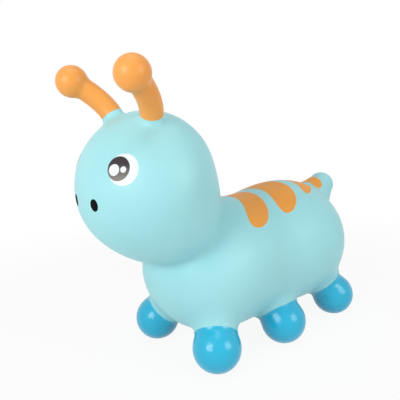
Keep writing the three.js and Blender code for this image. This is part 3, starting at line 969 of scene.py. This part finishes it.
@dataclass
class Skin:
    """The whole moulded skin, parted along its paint lines."""

    assembler: Assembler
    trunk: Trunk = Trunk()
    head: Head = Head()
    antenna: Antenna = Antenna()
    feet: tuple[Foot, ...] = (
        Foot("front", 148, 80, 48.5, 23.5, paint_splay_deg=43.5),
        Foot("middle", 0, 88, 90, 25),
        Foot("rear", -160, 77.5, 140, 36, crease=8.0),
    )
    sole_edge: float = 4.0
    room_cells: int = 3
    limb_room: float = 16.0
    valve_clear: float = 12.0
    lip_radius: float = 0.8
    lip_steps: int = 96
    lip_sides: int = 8
    lip_evening: int = 3
    form: Form = field(init=False)

    def __post_init__(self) -> None:
        """Joins the sub-assemblies into one form."""
        half = self.trunk.form()
        for foot in self.feet:
            half = half.joined(foot.form(), foot.leg_softness)
        half = half.joined(self.head.form(), self.head.crease_softness)
        half = half.joined(self.antenna.form(), self.antenna.root_softness)
        self.form = Standing(half, self.sole_edge)

    def valve_point(self) -> Array:
        """Where the valve's axis meets the belly under the rump."""
        return self.form.land(np.array([[self.trunk.rump.centre[0], 0.0, 0.0]]), UP)[0]

    def build(self) -> None:
        """Facets the form, parts it and puts each piece on its body."""
        box = np.array([list(corner) for corner in CAD_BOX]) / MM - self.assembler.shift
        room = self.room_cells * SKIN_CELL
        reach = np.abs(box[:, 1]).max() + room
        low = np.array([box[0, 0] - room, -reach, -room])
        high = np.array([box[1, 0] + room, reach, box[1, 2] + room])
        whole = faceted(self.form, low, high, SKIN_CELL)

        trunk = self.trunk.form()
        lines: dict[str, PaintLine] = {}
        for side in Side:
            for foot in self.feet:
                lines[f"foot_{foot.word}_{side.word}"] = foot.paint_line(side, trunk)
        lines |= {f"antenna_{side.word}": self.antenna.paint_line(side) for side in Side}
        parted = cut_along(whole, list(lines.values()))
        middles = parted.middles()
        bare = ~np.any([line.holds(middles) for line in lines.values()], axis=0)
        from_valve = middles - self.valve_point()
        valve = np.linalg.norm(from_valve, axis=1) < self.valve_clear

        open_skin = parted.part(bare & ~valve)
        body = self.assembler.piece("body_skin_vinyl", open_skin, FINISHES.skin, ["body_skin"])
        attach(body, "skin")
        for name, line in lines.items():
            self.build_limb(name, line)

    def lip(self, limb: Shell) -> Shell:
        """The fine bead that the mould leaves round a paint line.

        Args:
            limb: The painted limb, whose rim is the line.

        Returns:
            A closed ring that lies half sunk in the skin.
        """
        rim = limb.rim()
        rim = np.concatenate([rim, rim[:1]])
        run = np.concatenate([[0.0], np.cumsum(np.linalg.norm(np.diff(rim, axis=0), axis=1))])
        stops = np.linspace(0, run[-1], self.lip_steps, endpoint=False)
        middle = np.stack([np.interp(stops, run, rim[:, n]) for n in range(3)], axis=1)
        for _ in range(self.lip_evening):
            middle = (np.roll(middle, 1, axis=0) + 2 * middle + np.roll(middle, -1, axis=0)) / 4
        middle = self.form.settle(middle)
        normals = self.form.normal(middle)
        ahead = np.roll(middle, -1, axis=0) - np.roll(middle, 1, axis=0)
        across = np.cross(ahead, normals)
        across /= np.linalg.norm(across, axis=1, keepdims=True)
        turns = np.linspace(0, 2 * math.pi, self.lip_sides, endpoint=False)[None, :, None]
        spokes = np.cos(turns) * normals[:, None] + np.sin(turns) * across[:, None]
        corners = middle[:, None] + self.lip_radius * spokes
        at = np.arange(self.lip_steps * self.lip_sides).reshape(self.lip_steps, self.lip_sides)
        following = np.roll(at, -1, axis=0)
        quads = np.stack([at, following, np.roll(following, -1, axis=1), np.roll(at, -1, axis=1)], axis=-1)
        return Shell(corners.reshape(-1, 3), [tuple(quad) for quad in quads.reshape(-1, 4).tolist()])

    def build_limb(self, name: str, line: PaintLine) -> None:
        """Makes one painted limb on a finer grid, and puts a foot and its bead on the skin's body.

        Args:
            name: The node's name.
            line: Its paint line.
        """
        low, high = (np.array(list(corner)) / MM - self.assembler.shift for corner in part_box(name))
        near = faceted(self.form, low - self.limb_room, high + self.limb_room, LIMB_CELL)
        parted = cut_along(near, [line])
        shell = parted.part(line.holds(parted.middles()))
        is_foot = name.startswith("foot")
        finish = FINISHES.blue if is_foot else FINISHES.orange
        limb = self.assembler.piece(f"{name}_vinyl", shell, finish, [name])
        if is_foot:
            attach(limb, "skin")
            lip = self.assembler.piece(f"{name}_lip", self.lip(shell), FINISHES.skin, [])
            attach(lip, "skin")
            return
        side = Side[name.split("_")[1].upper()]
        start = (line.point + self.assembler.shift) * MM
        end = (side.handed(self.antenna.stalk.along(self.antenna.bend_share)) + self.assembler.shift) * MM
        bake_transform(limb)


@dataclass(frozen=True)
class Film:
    """A coat of paint that rises from a feathered edge."""

    rise: float = 0.2
    edge_rise: float = 0.05
    depth: float = 0.5

    def closed(self, top: Array, normals: Array, edge_share: Array, disc: bool) -> Shell:
        """Closes a patch of paint round its edge.

        Args:
            top: Places on the skin, in rows and columns.
            normals: The way out of the skin at each place.
            edge_share: Nearness of each place to the patch's edge, from 0 to 1.
            disc: Whether the rows are rings, from the middle out to the edge.

        Returns:
            The film's top, underside and rim.
        """
        rows, columns = top.shape[:2]
        lift = self.edge_rise + (self.rise - self.edge_rise) * np.sqrt(np.clip(1 - edge_share, 0, 1))
        upper = (top + normals * lift[..., None]).reshape(-1, 3)
        lower = (top - normals * self.depth).reshape(-1, 3)
        at = np.arange(rows * columns).reshape(rows, columns)
        ring = np.concatenate([at[0, :-1], at[:-1, -1], at[-1, :0:-1], at[:0:-1, 0]])
        if disc:
            ring = at[-1]
            at = np.concatenate([at, at[:, :1]], axis=1)
        cells = np.stack([at[:-1, :-1], at[1:, :-1], at[1:, 1:], at[:-1, 1:]], axis=-1).reshape(-1, 4)
        following = np.roll(ring, -1)
        below = rows * columns
        rim = np.stack([ring, following, following + below, ring + below], axis=-1)
        faces = np.concatenate([cells, cells[:, ::-1] + below, rim])
        return Shell(np.concatenate([upper, lower]), [tuple(face) for face in faces.tolist()])


@dataclass(frozen=True)
class Stripe:
    """A band over the back whose round ends sweep forward."""

    x: float
    middle: float
    flank: float
    sweep: float
    half_span: float
    end_power: float = 6.0
    edge_power: int = 8
    drop_height: float = 400.0
    rows: int = 61
    columns: int = 17

    def shell(self, form: Form, film: Film) -> Shell:
        """Lays the band on the skin.

        Args:
            form: The skin.
            film: The coat of paint.

        Returns:
            The band's shape.
        """
        turn = np.linspace(-math.pi / 2, math.pi / 2, self.rows)[:, None]
        share = np.sin(turn)
        across = np.sin(np.linspace(-math.pi / 2, math.pi / 2, self.columns))[None, :]
        width = self.middle + (self.flank - self.middle) * share**2
        half = width * np.sqrt(np.maximum(1 - np.abs(share) ** self.end_power, 0))
        x = self.x + self.sweep * share**2 + across * half
        y = np.broadcast_to(share * self.half_span, x.shape)
        above = np.full(x.shape, self.drop_height)
        start = np.stack([x, y, above], axis=-1).reshape(-1, 3)
        top = form.land(start, -UP)
        normals = form.normal(top)
        edge = np.maximum(np.abs(across), np.abs(share)) ** self.edge_power
        shape = (self.rows, self.columns, 3)
        return film.closed(top.reshape(shape), normals.reshape(shape), edge, disc=False)


@dataclass(frozen=True)
class FacePrint:
    """A round or oval print, by its bearing to a side of the face's middle and its elevation."""

    word: str
    finish: Finish
    bearing_deg: float
    elevation_deg: float
    half_width: float
    half_height: float
    layer: int = 1
    face_turn_deg: float = -4.4
    layer_rise: float = 0.12
    dome: float = 0.06
    edge_power: int = 6
    clear: float = 200.0
    stand_off: float = 20.0
    rings: int = 7
    steps: int = 48

    def shell(self, form: Form, centre: Array, side: Side) -> Shell:
        """Lays the print on the skin.

        Args:
            form: The skin.
            centre: The middle of the skull.
            side: The side of the face.

        Returns:
            The print's shape.
        """
        turn = math.radians(self.face_turn_deg + side.value * self.bearing_deg)
        lift = math.radians(self.elevation_deg)
        heading = np.array([math.cos(lift) * math.cos(turn), math.cos(lift) * math.sin(turn), math.sin(lift)])
        middle = form.land((centre + self.clear * heading)[None, :], -heading)
        out = form.normal(middle)[0]
        across = unit(np.cross(UP, out))
        upright = np.cross(out, across)
        radius = np.sin(np.linspace(0, math.pi / 2, self.rings))[:, None]
        angle = np.linspace(0, 2 * math.pi, self.steps, endpoint=False)[None, :]
        flat = (radius * np.cos(angle))[..., None] * self.half_width * across
        flat = flat + (radius * np.sin(angle))[..., None] * self.half_height * upright
        top = form.land((middle[0] + self.stand_off * out + flat).reshape(-1, 3), -out)
        normals = form.normal(top)
        shape = (self.rings, self.steps, 3)
        base = self.layer_rise * self.layer
        film = Film(rise=base + self.dome, edge_rise=base)
        edge = np.broadcast_to(radius, shape[:2]) ** self.edge_power
        return film.closed(top.reshape(shape), normals.reshape(shape), edge, disc=True)


@dataclass
class Marks:
    """Stripes on the back, and the prints of the face."""

    skin: Skin
    assembler: Assembler
    stripes: tuple[Stripe, ...] = (
        Stripe(12.5, 22.5, 32, 41, 86.5),
        Stripe(-58.5, 27, 28, 28, 80),
        Stripe(-132, 21, 13.5, 34, 64.5),
        Stripe(-191, 12.5, 11.5, 5, 27.5),
    )
    prints: tuple[FacePrint, ...] = (
        FacePrint("eye_white", FINISHES.white, 45.4, 19, 21.7, 21.7, 1),
        FacePrint("pupil", FINISHES.charcoal, 41.5, 19.8, 16.5, 16.5, 2),
        FacePrint("eye_glint_large", FINISHES.white, 37.9, 18.8, 7.8, 7.8, 3),
        FacePrint("eye_glint_small", FINISHES.white, 45.9, 18.8, 4.2, 4.2, 3),
        FacePrint("nostril", FINISHES.black, 17.2, -9, 8, 8.7, 1),
    )

    def build(self) -> None:
        """Lays every mark on the skin."""
        for n, stripe in enumerate(self.stripes, 1):
            name = f"back_stripe_{n}"
            shell = stripe.shell(self.skin.form, Film())
            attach(self.assembler.piece(f"{name}_paint", shell, FINISHES.stripe, [name]), "skin")
        skull = np.array(self.skin.head.skull.centre, float)
        for side in Side:
            for mark in self.prints:
                name = f"{mark.word}_{side.word}"
                shell = mark.shell(self.skin.form, skull, side)
                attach(self.assembler.piece(f"{name}_print", shell, mark.finish, [name]), "skin")


@dataclass
class Valve:
    """The valve under the rump: a moulded seat and a push-in plug."""

    assembler: Assembler
    point: Array
    seat_radius: float = 16.0
    seat_proud: float = 0.6
    recess: float = 2.5
    bore_radius: float = 5.0
    seat_depth: float = 10.0
    plug_radius: float = 10.5
    plug_thickness: float = 2.6
    plug_length: float = 14.0
    clearance: float = 0.3
    edge: float = 0.7
    skirt_top: float = 2.0
    skirt_foot: float = 0.2
    dimple_radius: float = 5.5
    dimple_rim: float = 6.2
    dimple_depth: float = 0.5
    crown_share: float = 0.5
    crown_drop: float = 0.35
    hollow_radius: float = 2.6
    hollow_depth: float = 10.0
    steps: int = 64

    def turned(self, profile: list[tuple[float, float]]) -> Shell:
        """Turns a closed profile about the valve's axis.

        Args:
            profile: Radii and heights above the belly.

        Returns:
            The turned shape.
        """
        angles = np.linspace(0, 2 * math.pi, self.steps, endpoint=False)
        radius = np.array([r for r, _ in profile])
        height = np.array([h for _, h in profile])
        ring = np.stack([np.outer(radius, np.cos(angles)), np.outer(radius, np.sin(angles)),
                         np.repeat(height[:, None], self.steps, axis=1)], axis=-1)
        at = np.arange(ring.shape[0] * self.steps).reshape(ring.shape[:2])
        beside = np.roll(at, -1, axis=1)
        faces = np.stack([at[:-1], beside[:-1], beside[1:], at[1:]], axis=-1).reshape(-1, 4)
        return Shell(ring.reshape(-1, 3) + self.point, [tuple(face) for face in faces.tolist()])

    def build(self) -> None:
        """Makes the seat and the plug."""
        lip = self.plug_radius + self.clearance
        seat = self.turned([
            (self.seat_radius, self.skirt_top),
            (self.seat_radius, self.skirt_foot),
            (self.seat_radius - self.edge, -self.seat_proud),
            (lip + self.edge, -self.seat_proud),
            (lip, self.edge - self.seat_proud),
            (lip, self.recess),
            (self.bore_radius, self.recess),
            (self.bore_radius, self.seat_depth),
            (self.seat_radius, self.seat_depth),
            (self.seat_radius, self.skirt_top),
        ])
        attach(self.assembler.piece("valve_seat", seat, FINISHES.skin, []), "skin")
        under = self.recess - self.clearance
        face = under - self.plug_thickness
        shank = self.bore_radius - self.clearance
        end = under + self.plug_length
        plug = self.turned([
            (0, face + self.dimple_depth),
            (self.dimple_radius, face + self.dimple_depth),
            (self.dimple_rim, face),
            (self.plug_radius - 2 * self.edge, face),
            (self.plug_radius - self.crown_share * self.edge, face + self.crown_drop * self.edge),
            (self.plug_radius, face + self.edge),
            (self.plug_radius, under),
            (shank + self.edge, under),
            (shank, under + self.edge),
            (shank, end - self.edge),
            (shank - self.edge, end),
            (self.hollow_radius, end),
            (self.hollow_radius, end - self.hollow_depth),
            (0, end - self.hollow_depth),
        ])
        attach(self.assembler.piece("valve_plug_stopper", plug, FINISHES.stopper, ["valve_plug"]), "plug")


@dataclass(frozen=True)
class Lamp:
    """A soft square lamp that faces the toy, with its place and side in metres and its power in watts."""

    name: str
    place: tuple[float, float, float]
    size: float
    power: float
    aim_height: float = 0.22

    def build(self) -> None:
        """Hangs the lamp."""
        data = bpy.data.lights.new(self.name, "AREA")
        data.size = self.size
        data.energy = self.power
        made = bpy.data.objects.new(self.name, data)
        made.location = self.place
        aim = Vector((0, 0, self.aim_height)) - Vector(self.place)
        made.rotation_euler = aim.to_track_quat("-Z", "Y").to_euler()
        bpy.context.scene.collection.objects.link(made)


@dataclass(frozen=True)
class Studio:
    """Camera, floor and soft lights."""

    camera_place: tuple[float, float, float] = (568.5, 595.0, 406.7)
    bearing_deg: float = 50.3
    elevation_deg: float = 11.1
    roll_deg: float = 2.2
    lens: float = 42.9
    sensor: float = 36.0
    floor_size: float = 40.0
    floor_white: float = 0.8
    floor_share: float = 0.92
    shadow_near: float = 0.45
    shadow_far: float = 1.1
    floor_glow: float = 1.0
    world_level: float = 0.3
    backdrop: float = 1.0
    lamps: tuple[Lamp, ...] = (
        Lamp("overhead_softbox", (0.3, 0.2, 2.0), 1.2, 7),
        Lamp("front_softbox", (1.5, 0.3, 0.75), 0.8, 12),
        Lamp("flank_softbox", (-0.37, 1.5, 0.75), 0.8, 8),
    )

    def camera(self) -> None:
        """Sets the camera at the photograph's viewing angle."""
        bearing = math.radians(self.bearing_deg)
        lift = math.radians(self.elevation_deg)
        roll = math.radians(self.roll_deg)
        out = math.cos(lift)
        back = Vector((out * math.cos(bearing), out * math.sin(bearing), math.sin(lift)))
        level = Vector((-math.sin(bearing), math.cos(bearing), 0))
        upright = back.cross(level)
        right = math.cos(roll) * level - math.sin(roll) * upright
        data = bpy.data.cameras.new("photo_camera")
        data.sensor_width = self.sensor
        data.lens = self.lens
        made = bpy.data.objects.new("photo_camera", data)
        turned = Matrix((right, back.cross(right), back)).transposed().to_4x4()
        made.matrix_world = Matrix.Translation(Vector(self.camera_place) * MM) @ turned
        bpy.context.scene.collection.objects.link(made)
        bpy.context.scene.camera = made

    @staticmethod
    def seen(shader: Shader) -> Signal:
        """Tells which rays see the white surroundings.

        Args:
            shader: The node tree that asks.

        Returns:
            One for rays from the camera, a reflection or a clear body, and zero for others.
        """
        rays = ("Is Camera Ray", "Is Glossy Ray", "Is Transmission Ray")
        camera, glossy, through = (shader.node("ShaderNodeLightPath", {}, {}, output=ray) for ray in rays)
        return camera + glossy + through

    def floor(self) -> None:
        """Lays the pale floor, which shows near white and keeps the toy's shadow."""
        half = self.floor_size / 2
        mesh = bpy.data.meshes.new("floor")
        corners = [(-half, -half, 0), (half, -half, 0), (half, half, 0), (-half, half, 0)]
        mesh.from_pydata(corners, [], [(0, 1, 2, 3)])
        made = bpy.data.objects.new("floor", mesh)
        bpy.context.scene.collection.objects.link(made)
        material = bpy.data.materials.new("pale_floor")
        material.use_nodes = True
        shader = Shader(material.node_tree)
        place = shader.place()
        away = shader.node("ShaderNodeVectorMath", {"operation": "LENGTH"}, {0: place}, output="Value")
        fading = shader.ramp(away, self.shadow_near, self.shadow_far)
        share = self.floor_share + (1 - self.floor_share) * fading
        paper = shader.node("ShaderNodeBsdfDiffuse", {}, {"Color": (self.floor_white,) * 3 + (1,)})
        glow = shader.node("ShaderNodeEmission", {}, {"Color": WHITE, "Strength": self.floor_glow})
        surface = shader.node("ShaderNodeMixShader", {}, {0: share * self.seen(shader), 1: paper, 2: glow})
        shader.node("ShaderNodeOutputMaterial", {}, {"Surface": surface})
        mesh.materials.append(material)

    def world(self) -> None:
        """Surrounds the toy with even light, which shows as white."""
        world = bpy.data.worlds.new("studio")
        world.use_nodes = True
        bpy.context.scene.world = world
        shader = Shader(world.node_tree)
        seen = self.seen(shader)
        level = self.world_level + (self.backdrop - self.world_level) * seen
        light = shader.node("ShaderNodeBackground", {}, {"Color": WHITE, "Strength": level})
        shader.node("ShaderNodeOutputWorld", {}, {"Surface": light})

    def build(self) -> None:
        """Sets up the studio."""
        bpy.context.scene.view_settings.view_transform = "Standard"
        self.floor()
        self.world()
        for lamp in self.lamps:
            lamp.build()


def frame_shift(rump_x: float) -> Array:
    """Finds where the frame's origin puts the toy, from the valve plug under the middle of the rump.

    Args:
        rump_x: Place of the rump along the toy.

    Returns:
        What is added to the toy's own places to bring them into the frame.
    """
    low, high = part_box("valve_plug")
    return np.array([(low.x + high.x) / 2 / MM - rump_x, 0.0, 0.0])


def main() -> None:
    """Builds the studio and the toy."""
    logging.basicConfig(level=logging.INFO, format="%(message)s")
    studio = Studio()
    studio.camera()
    assembler = Assembler(frame_shift(Trunk().rump.centre[0]))
    skin = Skin(assembler)
    skin.build()
    Marks(skin, assembler).build()
    Valve(assembler, skin.valve_point()).build()
    studio.build()


if __name__ == "__main__":
    main()
